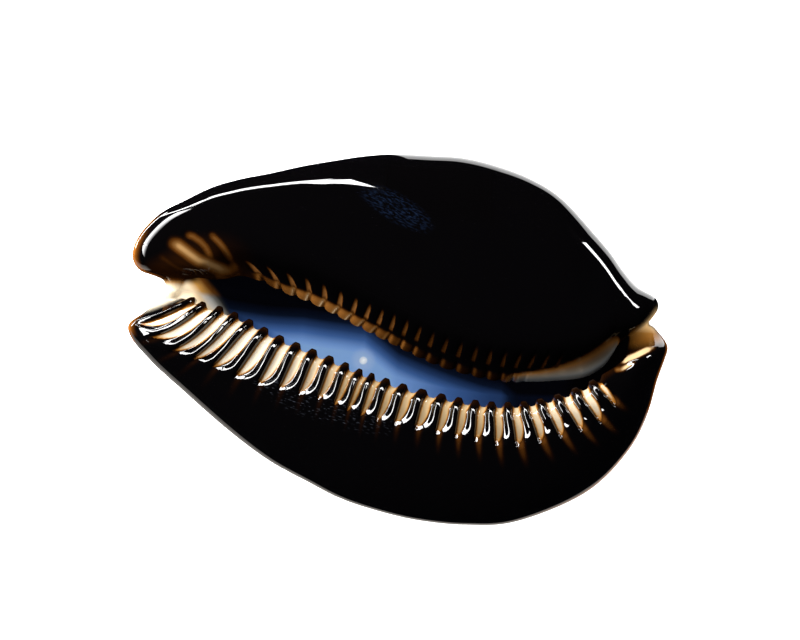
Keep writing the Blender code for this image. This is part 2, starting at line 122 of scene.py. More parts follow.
INNER = [
    (0, -28.5, 4.6), (1, -29.0, 3.4), (2, -29.3, 2.0), (3, -29.9, 0.2), (4, -30.0, -2.4),
    (6, -26.6, -7.6), (8, -21.4, -12.4), (10, -16.2, -16.2), (12, -10.9, -18.9),
    (14, -6.8, -20.9), (16, -2.3, -22.3), (18, 3.8, -23.4), (20, 10.7, -23.7),
    (22, 17.6, -22.7), (24, 25.2, -18.8), (26, 30.1, -13.6), (27, 31.6, -10.2), (28, 32.5, -6.6),
    (29, 32.8, -3.9), (30, 32.7, -1.9), (31, 32.5, -0.4), (32, 32.5, 0.8), (33, 32.7, 2.0),
    (34, 32.8, 3.2), (35, 32.4, 4.4), (36, 31.6, 5.8), (37, 30.3, 7.8), (38, 28.6, 10.2),
    (39, 26.6, 12.8), (41, 21.4, 18.0), (43, 16.7, 20.9), (45, 11.7, 22.6), (47, 7.2, 23.4),
    (49, 2.8, 23.5), (51, -1.7, 23.4), (53, -6.1, 22.8), (55, -10.4, 21.8), (57, -14.9, 20.6),
    (59, -19.3, 19.0), (61, -23.6, 17.0), (62, -25.8, 15.6), (63, -27.8, 13.6),
    (64, -29.1, 11.2), (65, -29.3, 9.0), (66, -29.0, 7.2), (67, -28.6, 5.8),
]
print("points marked:", sum(len(line) for line in (EDGE, SHOULDER, OUTLINE, INNER)))

# %% [markdown]
# Heights and strengths change round the ring as well.  The canals at both ends cut down through
# the base, the tips stand a little lower than the middle, and the roll of the lip fades into the
# canals.  These are lists of the same kind, read with an evener curve that adds no humps of its
# own between the marked values.

# %% Heights and strengths round the ring
# u, then how far under the arched base: the lip, the outline under the lip, the lip's ceiling
FALLS = [
    (0, 10.4, 2.2, 1.4), (0.5, 9.3, 2.4, 1.6), (1, 6.0, 3.0, 3.0), (1.5, 2.6, 3.8, 5.0),
    (2, 1.0, 4.6, 6.4), (3, 0.2, 5.2, 6.6), (4, 0.0, 6.2, 6.4), (8, 0.0, 7.5, 6.0),
    (20, 0.0, 7.5, 6.0), (26, 0.0, 7.0, 6.0), (28, 0.2, 6.0, 6.2), (30, 0.8, 5.0, 6.0),
    (31, 2.0, 4.2, 5.0), (32, 6.4, 3.0, 2.0), (33, 7.4, 2.6, 1.6), (34, 3.0, 3.9, 4.6),
    (35, 1.0, 4.4, 6.6), (37, 0.2, 4.8, 8.0), (39, 0.0, 5.4, 9.0), (41, 0.0, 6.4, 9.0),
    (45, 0.0, 8.3, 9.0), (51, 0.0, 8.5, 9.0), (55, 0.0, 6.8, 9.0), (59, 0.0, 5.2, 9.0),
    (63, 0.0, 4.3, 8.4), (65, 0.3, 3.9, 7.6), (66, 1.2, 3.6, 6.4), (67, 5.6, 2.8, 3.0),
    (67.5, 8.8, 2.4, 1.8),
]
ROLL_SHARE = [
    (0, 0.30), (1, 0.45), (2, 0.9), (3, 1.0), (29, 1.0), (31, 0.7), (32, 0.35), (33, 0.30),
    (34, 0.5), (35, 0.7), (37, 0.95), (39, 1.0), (63, 1.0), (65, 0.85), (66, 0.7), (67, 0.45),
]
INNER_LIP = [(0, 0.0), (32, 0.0), (35, 0.35), (38, 0.9), (40, 1.0), (62, 1.0), (65, 0.5), (67, 0.0)]
WAIST = [(0, 0.06), (4, 0.05), (10, 0.02), (22, 0.02), (28, 0.035), (33, 0.05), (38, 0.035),
         (46, 0.02), (58, 0.02), (64, 0.05)]
COLUMELLA_ROLL_SHAPE = [
    (0.0, 0.0, -6.2), (0.15, 0.5, -5.1), (0.35, 1.8, -4.2), (0.5, 3.1, -2.5),
    (0.65, 4.2, -1.0), (0.8, 5.5, -0.3), (1.0, 8.0, 0.0),
]


# %% Curves through marked values
def gather(table):
    return np.array([row[0] for row in table], float), np.array([row[1:] for row in table], float)


def hermite(values, slope, gap, i, j, f):
    h = gap[i][:, None]
    f = f[:, None]
    start = values[i] * (1 + 2 * f) * (1 - f) ** 2 + slope[i] * h * f * (1 - f) ** 2
    end = values[j] * f * f * (3 - 2 * f) - slope[j] * h * f * f * (1 - f)
    return start + end


def round_curve(table, u, even=False):
    """Values at ring positions u on the closed curve through the table; even keeps out humps."""
    knots, values = gather(table)
    gap = np.append(knots[1:], knots[0] + STEPS) - knots
    rise = (np.roll(values, -1, axis=0) - values) / gap[:, None]
    before = np.roll(rise, 1, axis=0)
    gap_before = np.roll(gap, 1)
    if even:
        same = before * rise > 0
        slope = np.where(same, 2 * before * rise / np.where(same, before + rise, 1.0), 0.0)
    else:
        slope = before * gap[:, None] + rise * gap_before[:, None]
        slope = slope / (gap + gap_before)[:, None]
    place = np.mod(u - knots[0], STEPS) + knots[0]
    i = np.clip(np.searchsorted(knots, place, side="right") - 1, 0, len(knots) - 1)
    return hermite(values, slope, gap, i, (i + 1) % len(knots), (place - knots[i]) / gap[i])


def open_curve(table, q):
    """Values at position q on the curve through a table that doesn't close."""
    knots, values = gather(table)
    slope = np.gradient(values, knots, axis=0)
    gap = np.append(np.diff(knots), 1.0)
    i = np.array([np.clip(np.searchsorted(knots, q, side="right") - 1, 0, len(knots) - 2)])
    return hermite(values, slope, gap, i, i + 1, (q - knots[i]) / gap[i])[0]


def ease(low, high, value):
    f = np.clip((value - low) / (high - low), 0.0, 1.0)
    return f * f * (3 - 2 * f)


print("lip edge at the first tooth:", round_curve(EDGE, np.array([2.0])).round(2).tolist())


# %% [markdown]
# The skin itself.  Each profile starts inside on the back of the shell, climbs the inner wall,
# turns round the lip, crosses the base to the outline and comes down the outside to the small
# flat it rests on.  A revolve would give a round pot and sculpting would wander, so the profile is
# written as short pieces of curve whose ends meet with the same direction.

# %% The profiles
class Ring:
    """Everything the profiles need, worked out once for a set of ring positions."""

    def __init__(self, u):
        self.u = u
        self.edge = round_curve(EDGE, u)
        self.shoulder = round_curve(SHOULDER, u)
        self.outline = round_curve(OUTLINE, u)
        self.inner = round_curve(INNER, u)
        falls = round_curve(FALLS, u, even=True)
        arch = TOP - BASE_ARCH * ((self.edge[:, 0] - 5.0) / LENGTH_HALF) ** 2
        self.z_base = arch - falls[:, 0]
        self.z_outline = self.z_base - falls[:, 1]
        self.z_ceiling = self.z_base - falls[:, 2]
        self.z_inner = np.minimum(self.z_outline - INNER_RISE, self.z_ceiling - 2.5)
        self.share = round_curve(ROLL_SHARE, u, even=True)[:, 0]
        self.inner_lip = round_curve(INNER_LIP, u, even=True)[:, 0]
        self.waist = round_curve(WAIST, u, even=True)[:, 0]
        self.smooth_outline = self.soften(5.0)
        near = np.hypot(*(self.shoulder - self.edge).T)
        far = np.hypot(*(self.outline - self.shoulder).T)
        self.width = near + far
        t = near / self.width
        bend = self.shoulder - self.edge * ((1 - t) ** 2)[:, None] - self.outline * (t ** 2)[:, None]
        self.bend = bend / (2 * t * (1 - t))[:, None]
        roll = LIP_ROLL + (COLUMELLA_ROLL - LIP_ROLL) * self.inner_lip
        self.roll = np.minimum(roll, 0.55 * self.width)
        self.near = near
        way = (self.shoulder - self.edge) / near[:, None]
        self.pitches = [self.pitch(line, way) for line in (EDGE, SHOULDER)]

    def pitch(self, line, way):
        """Width of one tooth step measured square to the grooves, along one line."""
        step = round_curve(line, self.u + 0.5) - round_curve(line, self.u - 0.5)
        return np.abs(step[:, 0] * way[:, 1] - step[:, 1] * way[:, 0])

    def soften(self, reach):
        """The outline with its two notches smoothed away."""
        total = np.zeros(self.outline.shape)
        weights = 0.0
        for k in range(-12, 13):
            weight = math.exp(-(k / 12.0 * 2.2) ** 2)
            total += weight * round_curve(OUTLINE, self.u + reach * k / 12.0)
            weights += weight
        return total / weights

    def on_base(self, t):
        t = t[:, None]
        return self.edge * (1 - t) ** 2 + self.bend * 2 * t * (1 - t) + self.outline * t * t

    def base_height(self, t):
        left = np.clip(1 - t ** BASE_POWER, 0.0, 1.0) ** (1 / BASE_POWER)
        return self.z_outline + (self.z_base - self.z_outline) * left

    def point(self, v):
        """Point of every profile at v: 0-1 inner wall, 1-2 underside, 2-3 nose, 3-4 roll,
        4-5 base, 5-6 outside."""
        part = min(int(v), 5)
        q = v - part
        up, out = math.sin(q * math.pi / 2), 1 - math.cos(q * math.pi / 2)
        if part == 0:
            angle = (1 - q) * math.pi / 2
            flat = POLE + (self.inner - POLE) * math.cos(angle)
            z = WALL_BACK + (self.z_inner - WALL_BACK) * (1 - math.sin(angle))
            return np.column_stack([flat, z])
        reach = np.hypot(*(self.edge - self.inner).T)
        nose = 1 - np.minimum(NOSE, 0.45 * reach) / reach
        drop = LIP_DROP + (COLUMELLA_DROP - LIP_DROP) * self.inner_lip
        z_edge = self.base_height(np.zeros(self.u.shape)) - drop * self.share
        z_ceiling = np.minimum(self.z_ceiling, z_edge - 0.5)
        if part == 1:
            z = self.z_inner + (z_ceiling - self.z_inner) * up
            return np.column_stack([self.inner + (self.edge - self.inner) * (nose * out)[:, None], z])
        if part == 2:
            f = nose + (1 - nose) * up
            z = z_ceiling + (z_edge - z_ceiling) * out
            return np.column_stack([self.inner + (self.edge - self.inner) * f[:, None], z])
        if part == 3:
            shape = open_curve(COLUMELLA_ROLL_SHAPE, q)
            away = out * (1 - self.inner_lip) + shape[0] / COLUMELLA_ROLL * self.inner_lip
            down = -(1 - up) * LIP_DROP * (1 - self.inner_lip) + shape[1] * self.inner_lip
            t = away * self.roll / self.width
            return np.column_stack([self.on_base(t), self.base_height(t) + down * self.share])
        if part == 4:
            first = self.roll / self.width
            t = first + (1 - first) * up
            return np.column_stack([self.on_base(t), self.base_height(t)])
        deepest = np.arcsin(1 - FLAT_SINK / (self.z_outline + FLAT_SINK))
        angle = deepest * q
        z = (self.z_outline + FLAT_SINK) * (1 - np.sin(angle)) - FLAT_SINK
        swap = ease(0.0, 0.6, angle)[:, None]
        ring = self.outline * (1 - swap) + self.smooth_outline * swap
        gone = 1 - np.exp(-((self.z_outline - z) / FLANGE_DEPTH) ** 2)
        size = np.cos(angle) ** DOME_POWER * (1 - self.waist * gone)
        return np.column_stack([POLE + (ring - POLE) * size[:, None], z])


ring = Ring(np.interp(np.arange(COLUMN_MARKS[-1][0]), *np.array(COLUMN_MARKS).T))
print("lip width round the ring, mm:", ring.width.min().round(1), "to", ring.width.max().round(1))

# %% [markdown]
# Teeth, beads and folds are low relief on the lips, and two low callus edges carry the long
# highlights.  Each is a depth field: how deep a groove cuts, or how high an edge stands, at a
# distance from its own centre line.  The same fields are kept as numbers on the vertices, and
# the colours read them later, so the cream floor of a groove can never slide off the groove.  The
# outer teeth lean: a groove drops steeply on one side and climbs on the other by a bevelled flank
# that turns round its closed end, and it is that bevel which bends a highlight into a hook.

# %% Relief sizes
TOOTH_DEPTH = 0.75
TIP_DEPTH = 0.95
FLANK_WIDTH = 0.95
END_FLANK = 1.30
END_ROUND = 2.4
CREST_HEIGHT = 0.13
BEAD_DEPTH = 0.6
MARK_DEPTH = 0.30
# place across a flank, then its height: near the tip, half way, and at the closed end
FLANKS = [
    [(0, 0), (0.22, 0.01), (0.34, 0.12), (0.66, 0.88), (0.78, 0.99), (1, 1)],
    [(0, 0), (0.05, 0.01), (0.36, 0.28), (0.62, 0.74), (0.90, 0.99), (1, 1)],
    [(0, 0), (0.08, 0.03), (0.92, 0.97), (1, 1), (1.1, 1), (1.2, 1)],
]
# ring position, then how far in mm a groove runs out over the lip
GROOVE = [(2, 10.0), (4, 10.9), (6, 10.0), (8, 8.7), (10, 7.6), (12, 7.1), (15, 7.1), (17, 6.5),
          (20, 6.5), (22, 7.1), (24, 6.9), (26, 6.9), (27.5, 5.0), (30, 3.0)]
# how far across the tooth step the cream reaches, and how sharply it ends at the closed end
CREAM_SIDE = [(2, 0.75), (6, 0.71), (10, 0.64), (14, 0.58), (20, 0.58), (24, 0.63), (28, 0.62),
              (30, 0.60)]
CREAM_FADE = [(2, 0.16), (6, 0.22), (9, 0.30), (16, 0.26), (28, 0.20), (30, 0.2)]
# how strong the brown tails are
TAIL = [(2, 0.34), (8, 0.36), (15, 0.42), (20, 0.66), (26, 0.85), (28, 0.6), (30, 0.3)]
# ring position, where a mark starts and ends above the rim, and how far its top leans
MARKS = [(40, 2.0, 4.9, -0.28), (46, 2.0, 5.1, -0.08), (51, 1.8, 4.9, 0.12), (55, 1.4, 4.2, 0.22),
         (59, 1.1, 3.6, 0.36), (62, 1.0, 3.6, 0.55)]
# how far in mm the smooth rear of the inner lip reaches from the rim
SPOON = [(0, 0.2), (35.4, 0.2), (36.2, 1.6), (37, 3.2), (38, 4.2), (39, 3.9), (40, 3.2), (41, 2.5),
         (43, 1.7), (44.5, 1.2), (46, 0.2)]
# callus edges, which carry the long highlights: height, width and points
KEELS = [
    (0.24, 1.7, [(-38.6, 14.4), (-36.8, 15.6), (-34.2, 16.9), (-32.4, 17.4), (-30.2, 18.5), (-26.6, 19.8),
                 (-21.8, 21.2), (-17.7, 21.8), (-11.7, 22.7), (-8.7, 22.7), (-5.7, 22.1), (-2.0, 21.6)]),
    (0.20, 1.2, [(24.8, 18.3), (27.9, 14.8), (31.4, 10.7), (33.5, 8.3), (36.2, 5.3), (37.5, 3.8)]),
]
# half width, paint, depth, and the stroke's points
FOLDS = [
    (0.95, 1.00, 0.34, [(-35.9, 12.3), (-34.9, 12.0), (-33.8, 11.6), (-32.7, 10.9), (-31.5, 10.1),
                        (-30.4, 9.4), (-29.3, 9.1), (-28.2, 8.7), (-27.1, 8.3), (-26.0, 8.2),
                        (-25.3, 8.7)]),
    (0.62, 0.60, 0.26, [(-33.2, 13.5), (-32.3, 13.2), (-31.5, 13.0), (-30.3, 12.3), (-29.5, 11.5),
                        (-28.9, 10.5), (-28.4, 9.6)]),
    (0.58, 0.62, 0.26, [(-29.5, 13.9), (-28.9, 13.5), (-27.6, 12.4), (-26.8, 11.5), (-26.1, 10.4),
                        (-25.5, 9.5)]),
    (0.70, 0.26, 0.10, [(-37.1, 10.2), (-35.2, 9.1), (-33.6, 8.1), (-31.9, 7.6), (-30.7, 7.6)]),
    (0.70, 0.42, 0.06, [(-28.5, 7.5), (-27.0, 7.2), (-25.6, 6.9), (-24.6, 7.4), (-24.3, 8.3)]),
    (0.50, 1.00, 0.12, [(32.9, -2.0), (34.1, -1.1), (35.4, -0.5), (36.8, 0.3), (38.0, 0.9)]),
    (0.42, 0.75, 0.15, [(32.1, -2.9), (33.5, -2.6), (35.2, -1.5)]),
]
print("folds drawn:", len(FOLDS))


# %% Relief fields
def to_line(x, y, points):
    """Distance from each point to a line of points, and how far along the line it falls."""
    best = np.full(x.shape, 1e9)
    along = np.zeros(x.shape)
    done = 0.0
    lengths = [math.dist(a, b) for a, b in zip(points, points[1:])]
    for (ax, ay), (bx, by), length in zip(points, points[1:], lengths):
        f = np.clip(((x - ax) * (bx - ax) + (y - ay) * (by - ay)) / length ** 2, 0.0, 1.0)
        away = np.hypot(x - ax - f * (bx - ax), y - ay - f * (by - ay))
        along = np.where(away < best, (done + f * length) / sum(lengths), along)
        best = np.minimum(best, away)
        done += length
    return best, along


def outer_teeth(ring, away, below):
    """Depth of the grooves between the outer lip's teeth, their cream in mm, and brown tails."""
    u = ring.u
    q = np.mod(u, 1.0)
    lip = ease(1.5, 2.1, u) * (1 - ease(27.2, 27.9, u))
    pitch = ring.pitches[0] + (ring.pitches[1] - ring.pitches[0]) * np.clip(away / ring.near, 0, 1)
    reach = round_curve(GROOVE, u, even=True)[:, 0]
    along = away / reach
    tip = 1 - ease(0.0, 0.28, along)
    wide = 0.88 * pitch
    round_end = np.maximum(away - (reach - END_ROUND), 0.0) / END_ROUND
    inward = wide * (1 - np.hypot(q * pitch / wide, round_end))
    bevel = ease(0.35, 0.55, along)
    closed = ease(reach - 3.2, reach - 1.2, away)
    place = 1 - inward / (FLANK_WIDTH + (END_FLANK - FLANK_WIDTH) * closed)
    steep, bevelled, even = [np.interp(place, *np.array(shape).T) for shape in FLANKS]
    flank = steep + (bevelled - steep) * bevel
    flank = flank + (even - flank) * closed
    trough = TOOTH_DEPTH * (1 - flank) * ease(0.0, 0.17, q)
    finger = TIP_DEPTH * ease(0.06, 0.96, np.sin(np.pi * q) ** 2)
    crest = np.exp(-(np.minimum(q, 1 - q) / 0.10) ** 2)
    crest = crest * ease(0.1, 0.3, along) * (1 - ease(0.55, 1.0, along))
    depth = lip * below * (trough * (1 - tip) + finger * tip - CREST_HEIGHT * crest)
    side = round_curve(CREAM_SIDE, u, even=True)[:, 0]
    left = 0.13 + 0.13 * tip
    right = side * np.sqrt(np.clip(1 - (np.maximum(along - 0.4, 0.0) / 0.55) ** 2, 0.0, 1.0))
    right = right + (0.75 - side) * tip
    fade = round_curve(CREAM_FADE, u, even=True)[:, 0]
    cream = np.minimum(np.minimum(q - left, right - q) * pitch, (0.97 - along) * reach * fade)
    strength = round_curve(TAIL, u, even=True)[:, 0]
    tail = np.exp(-((q - 0.30 - 0.14 * ease(0.9, 1.6, along)) / 0.19) ** 2) * strength
    tail = tail * ease(0.5, 0.8, along) * (1 - ease(0.75, 1.70, along)) * lip
    return depth, np.clip(cream - 2 * (1 - lip) + 0.6, 0.0, 1.2), tail


def inner_teeth(u, away, below, above):
    """Depth and paint of the roped rim, the marks and the smooth rear of the inner lip; the rim's paint
    carries a painted highlight and painted shade on each bead.
    """
    lip = ease(42.6, 43.8, u) * (1 - ease(62.1, 62.9, u))
    side = u - np.round(u)
    scallop = np.sqrt(np.clip(1 - (1 - 2 * np.abs(side)) ** 2, 0.0, 1.0))
    rim = 1 - ease(0.9, 1.7, away)
    depth = BEAD_DEPTH * (0.8 - scallop) * rim * lip * below
    twist = side + 0.16 * (away - 0.8) * ease(51, 54, u)
    # painted highlight on one end of each bead, and painted shade at each notch between beads
    light_side = np.exp(-((twist - 0.15) / 0.11) ** 2) * ease(51, 54, u)
    light_side = light_side + np.exp(-((side + 0.22) / 0.13) ** 2) * (1 - ease(51, 54, u))
    shade = 1 - 0.55 * np.exp(-(twist / 0.07) ** 2)
    bead = rim * lip * (below > 0.3) * shade * (0.46 + 0.54 * light_side)
    bead = bead * (0.26 + 0.74 * ease(49, 57, u)) * (1 - 0.45 * ease(59.5, 62, u))
    table = round_curve(MARKS, u, even=True)
    place = (away - table[:, 0]) / (table[:, 1] - table[:, 0])
    lip = ease(40.4, 41.2, u) * (1 - ease(62.1, 62.9, u))
    leaned = np.mod(u - table[:, 2] * np.clip(place, 0, 1.2) + 0.5, 1.0) - 0.5
    width = np.clip(1 - place, 0.0, 1.0) ** 0.7
    stripe = ease(-0.17, -0.11, leaned) * (1 - ease(-0.06 + 0.16 * width, 0.02 + 0.28 * width, leaned))
    mark = stripe * ease(-0.05, 0.12, place) * (1 - ease(0.35, 1.0, place)) * lip * above
    dip = np.exp(-(leaned / 0.18) ** 2) * ease(-0.1, 0.5, place) * (1 - ease(0.4, 1.1, place))
    reach = round_curve(SPOON, u, even=True)[:, 0]
    ends = ease(35.6, 36.6, u) * (1 - ease(43.4, 45.0, u))
    spoon = np.clip(1 - away / reach, 0.0, 1.0) * ends * (below > 0.6)
    return depth + MARK_DEPTH * dip * lip * above, bead, mark * (0.36 + 0.64 * ease(49, 57, u)), spoon


def regions(u):
    """Where the canals, the thin tips, the inner lip and the palest grooves are, round the ring."""
    front = np.maximum(1 - ease(1.0, 1.7, u), ease(66.6, 67.2, u))
    rear = ease(31.0, 31.8, u) * (1 - ease(33.6, 34.6, u))
    lower_tip = ease(1.2, 1.8, u) * (1 - ease(2.3, 3.6, u))
    beak_tip = ease(63.6, 65.4, u) * (1 - ease(66.8, 67.5, u))
    rear_rim = 0.35 * ease(20, 27, u) * (1 - ease(30, 33, u))
    thin = np.maximum(np.maximum(lower_tip, beak_tip), rear_rim)
    inner = ease(34, 38, u) * (1 - ease(63.5, 66.0, u))
    beak = ease(61.5, 64.5, u) * (1 - ease(67.0, 67.6, u))
    pale = 1 - ease(7, 13, u) + 0.6 * ease(20, 26, u)
    return {"front": front, "rear": rear, "thin": thin, "inner": inner, "beak": beak, "pale": pale}


def fields(ring, v, x, y):
    """Every relief and colour field of one row of the skin."""
    u = ring.u
    above = float(v > 3)
    away = np.hypot(x - ring.edge[:, 0], y - ring.edge[:, 1]) * above
    below = float(ease(1.9, 2.9, np.array(v)))
    teeth, cream, tail = outer_teeth(ring, away, below)
    rim, bead, mark, spoon = inner_teeth(u, away, below, above)
    fold = np.zeros(u.shape)
    dip = np.zeros(u.shape)
    if above:
        for half_width, paint, depth, points in FOLDS:
            off, place = to_line(x, y, points)
            ends = ease(0.0, 0.22, place) * (1 - 0.5 * ease(0.8, 1.0, place))
            stroke = np.exp(-(off / half_width) ** 2) * ends
            fold = np.maximum(fold, paint * stroke)
            dip = np.maximum(dip, depth * stroke)
        for height, width, points in KEELS:
            off, place = to_line(x, y, points)
            ends = ease(0.0, 0.2, place) * (1 - ease(0.8, 1.0, place))
            dip = dip - height * np.exp(-(off / width) ** 2) * ends
    outside = np.hypot(x - ring.outline[:, 0], y - ring.outline[:, 1])
    seen = float(below > 0.05)
    return {"away": away, "groove": cream * seen, "tail": tail * seen, "bead": bead, "mark": mark,
            "spoon": spoon, "fold": fold, "edge": outside, "move": -(teeth + rim + dip)}


# %% [markdown]
# Rows are packed closely over the lips, where the teeth are, and spaced out over the back.  Towards
# the two poles a row keeps only every second column of its neighbour, so the triangles stay near
# square and the count stays low.

# %% The skin
def spaced(first, last, count):
    return list(np.linspace(first, last, count, endpoint=False))


ROWS = [(v, 16) for v in (0.04, 0.09)] + [(v, 8) for v in spaced(0.14, 0.5, 7)]
ROWS += [(v, 4) for v in spaced(0.5, 1.0, 12)] + [(v, 4) for v in spaced(1.0, 1.6, 7)]
ROWS += [(v, 2) for v in spaced(1.6, 2.0, 5)] + [(v, 1) for v in spaced(2.0, 3.0, 9)]
ROWS += [(v, 1) for v in spaced(3.0, 4.0, 20)] + [(v, 1) for v in spaced(4.0, 4.32, 26)]
ROWS += [(v, 2) for v in spaced(4.32, 5.0, 20)] + [(v, 2) for v in spaced(5.0, 5.3, 10)]
ROWS += [(v, 4) for v in spaced(5.3, 5.8, 14)] + [(v, 8) for v in spaced(5.8, 5.97, 5)]
ROWS += [(5.97, 16), (6.0, 16)]
KEPT = ["away", "groove", "tail", "bead", "mark", "spoon", "fold", "edge"]
AROUND = list(regions(ring.u))


def shape_rows(ring, rows):
    plain = np.array([ring.point(v) for v in rows])
    along = np.roll(plain, -1, axis=1) - np.roll(plain, 1, axis=1)
    across = np.gradient(plain, axis=0)
    normal = np.cross(across, along)
    normal = normal / np.maximum(np.linalg.norm(normal, axis=2, keepdims=True), 1e-9)
    kept = {name: np.zeros(plain.shape[:2]) for name in KEPT}
    moved = plain.copy()
    for k, v in enumerate(rows):
        if 1.9 < v < 5.0:
            found = fields(ring, v, plain[k, :, 0], plain[k, :, 1])
            moved[k] += normal[k] * found["move"][:, None]
            for name in KEPT:
                kept[name][k] = found[name]
    return moved, kept


def stitch(strides, count):
    """Faces between rows of kept columns; returns row starts, columns kept and the faces."""
    ids, order, faces = [], [], []
    for row, stride in enumerate(strides):
        columns = range(0, count, stride)
        ids.append(list(range(len(order), len(order) + len(columns))))
        order += [(row, c) for c in columns]
    for low, high in zip(ids, ids[1:]):
        if len(low) == len(high):
            n = len(low)
            faces += [(low[k], low[(k + 1) % n], high[(k + 1) % n], high[k]) for k in range(n)]
        elif len(high) > len(low):
            n = len(low)
            for k in range(n):
                a, b = low[k], low[(k + 1) % n]
                c, d, e = high[2 * k], high[2 * k + 1], high[(2 * k + 2) % (2 * n)]
                faces += [(a, d, c), (a, b, d), (b, e, d)]
        else:
            n = len(high)
            for k in range(n):
                c, d = high[k], high[(k + 1) % n]
                a, b, e = low[2 * k], low[2 * k + 1], low[(2 * k + 2) % (2 * n)]
                faces += [(a, b, c), (b, d, c), (b, e, d)]
    return ids, order, faces


def make_shell():
    rows = [v for v, _ in ROWS]
    points, kept = shape_rows(ring, rows)
    points[-1, :, 2] = 0.0
    ids, order, faces = stitch([s for _, s in ROWS], len(ring.u))
    rows_of, columns_of = np.array(order).T
    verts = points[rows_of, columns_of]
    poles = np.array([[*POLE, WALL_BACK], [*POLE, 0.0]])
    inside_pole, outside_pole = len(verts), len(verts) + 1
    first, last = ids[0], ids[-1]
    faces += [(inside_pole, first[(k + 1) % len(first)], first[k]) for k in range(len(first))]
    faces += [(outside_pole, last[k], last[(k + 1) % len(last)]) for k in range(len(last))]
    mesh = bpy.data.meshes.new("shell_skin")
    mesh.from_pydata((np.vstack([verts, poles]) * MM).tolist(), [], faces)
    place_v = np.array(rows)[rows_of]
    numbers = {name: kept[name][rows_of, columns_of] for name in KEPT}
    numbers["profile"] = place_v
    for name, values in regions(ring.u).items():
        numbers[name] = values[columns_of]
    for name, values in numbers.items():
        layer = mesh.attributes.new(name, "FLOAT", "POINT")
        at_poles = [0.0, rows[-1]] if name == "profile" else [0.0, 0.0]
        layer.data.foreach_set("value", np.append(values, at_poles))
    mesh.flip_normals()
    mesh.update()
    mesh.shade_smooth()
    skin = bpy.data.objects.new("shell_skin", mesh)
    bpy.context.scene.collection.objects.link(skin)
    return skin


shell = make_shell()
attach(shell, "root")
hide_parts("shell")
print("skin:", len(shell.data.vertices), "vertices,", len(shell.data.polygons), "faces")

# %% [markdown]
# Finishes.  The enamel is one glossy coat all over: nearly black on the lips, cream in the canal
# and the grooves, amber where a thin edge lets light through, blue-grey inside and chestnut with
# pale drops on the back.  The amber and the blue are painted light, and a few painted highlights,
# reflections and shade are laid in as well.  One material carries them all, because on the real
# shell they melt into each other.  The numbers kept on the skin say where each colour is, and
# colour ramps turn them into the steps from black through brown and amber to cream.

# %% Shader helper
class Wire:
    """One socket of a material's nodes, so that shader maths reads as plain arithmetic."""

    def __init__(self, tree, socket):
        self.tree = tree
        self.socket = socket

    def node(self, kind, settings=None, output=0, **sockets):
        """Adds a node: its settings first, then the values or links of its sockets."""
        made = self.tree.nodes.new(kind)
        for name, value in (settings or {}).items():
            if name == "stops":
                ramp = made.color_ramp
                while len(ramp.elements) < len(value):
                    ramp.elements.new(0.5)
                for element, (place, colour) in zip(ramp.elements, value):
                    element.position = place
                    element.color = (*colour, 1.0)
            else:
                setattr(made, name, value)
        for name, value in sockets.items():
            key = int(name[1:]) if name[0] == "i" and name[1:].isdigit() else name.replace("_", " ")
            target = made.inputs[key]
            if isinstance(value, Wire):
                self.tree.links.new(value.socket, target)
            else:
                target.default_value = value
        return Wire(self.tree, made.outputs[output])

    def maths(self, operation, a, b):
        return self.node("ShaderNodeMath", {"operation": operation}, i0=a, i1=b)

    def __add__(self, other):
        return self.maths("ADD", self, other)

    def __radd__(self, other):
        return self.maths("ADD", other, self)

    def __sub__(self, other):
        return self.maths("SUBTRACT", self, other)

    def __rsub__(self, other):
        return self.maths("SUBTRACT", other, self)

    def __mul__(self, other):
        return self.maths("MULTIPLY", self, other)

    def __rmul__(self, other):
        return self.maths("MULTIPLY", other, self)

    def __truediv__(self, other):
        return self.maths("DIVIDE", self, other)

    def larger(self, other):
        return self.maths("MAXIMUM", self, other)

    def between(self, low, high):
        """0 below low, 1 above high, and a smooth step from one to the other."""
        return self.node("ShaderNodeMapRange", {"interpolation_type": "SMOOTHSTEP"},
                         i0=self, i1=low, i2=high, i3=0.0, i4=1.0)

    def until(self, low, high):
        """The other way round: 1 below low and 0 above high."""
        return 1.0 - self.between(low, high)

    def band(self, low, full, still, high):
        """1 from full to still, and 0 below low and above high."""
        return self.between(low, full) * self.until(still, high)

    def ramp(self, *stops):
        return self.node("ShaderNodeValToRGB", {"stops": stops}, i0=self)

    def mixed(self, first, second, amount):
        """One colour with a second laid over it by amount; both may be plain colours."""
        return self.node("ShaderNodeMix", {"data_type": "RGBA"}, 2, i0=amount, i6=first, i7=second)

    def under(self, cover, amount):
        """This colour with another laid over it by amount."""
        return self.mixed(self, cover, amount)


def start(name):
    """A new material and a wire to build from."""
    material = bpy.data.materials.new(name)
    material.use_nodes = True
    material.node_tree.nodes.clear()
    return material, Wire(material.node_tree, None)


def finish_with(material, bsdf):
    out = material.node_tree.nodes.new("ShaderNodeOutputMaterial")
    material.node_tree.links.new(bsdf.socket, out.inputs["Surface"])


print("shader helper ready")

# %% [markdown]
# Colours are kept as plain numbers in linear light.  The enamel's black is not quite black: a real
# shell is a very dark red-brown, which shows only where the light is strong.

# %% Colours
NO_LIGHT = (0.0, 0.0, 0.0)
ENAMEL = (0.0006, 0.0005, 0.0006)
UMBER = (0.0060, 0.0018, 0.0004)
BROWN = (0.038, 0.0125, 0.0018)
AMBER = (0.170, 0.062, 0.008)
TAN = (0.240, 0.135, 0.050)
CREAM = (0.390, 0.275, 0.145)
IVORY = (0.560, 0.490, 0.375)
REFLECTED_GREY = (0.085, 0.088, 0.086)
CHESTNUT = (0.060, 0.018, 0.006)
HONEY = (0.300, 0.140, 0.045)


def solid(colour):
    """A colour as a shader socket takes it."""
    return (*colour, 1.0)


print("enamel is", round(CREAM[0] / ENAMEL[0]), "times darker than the cream")

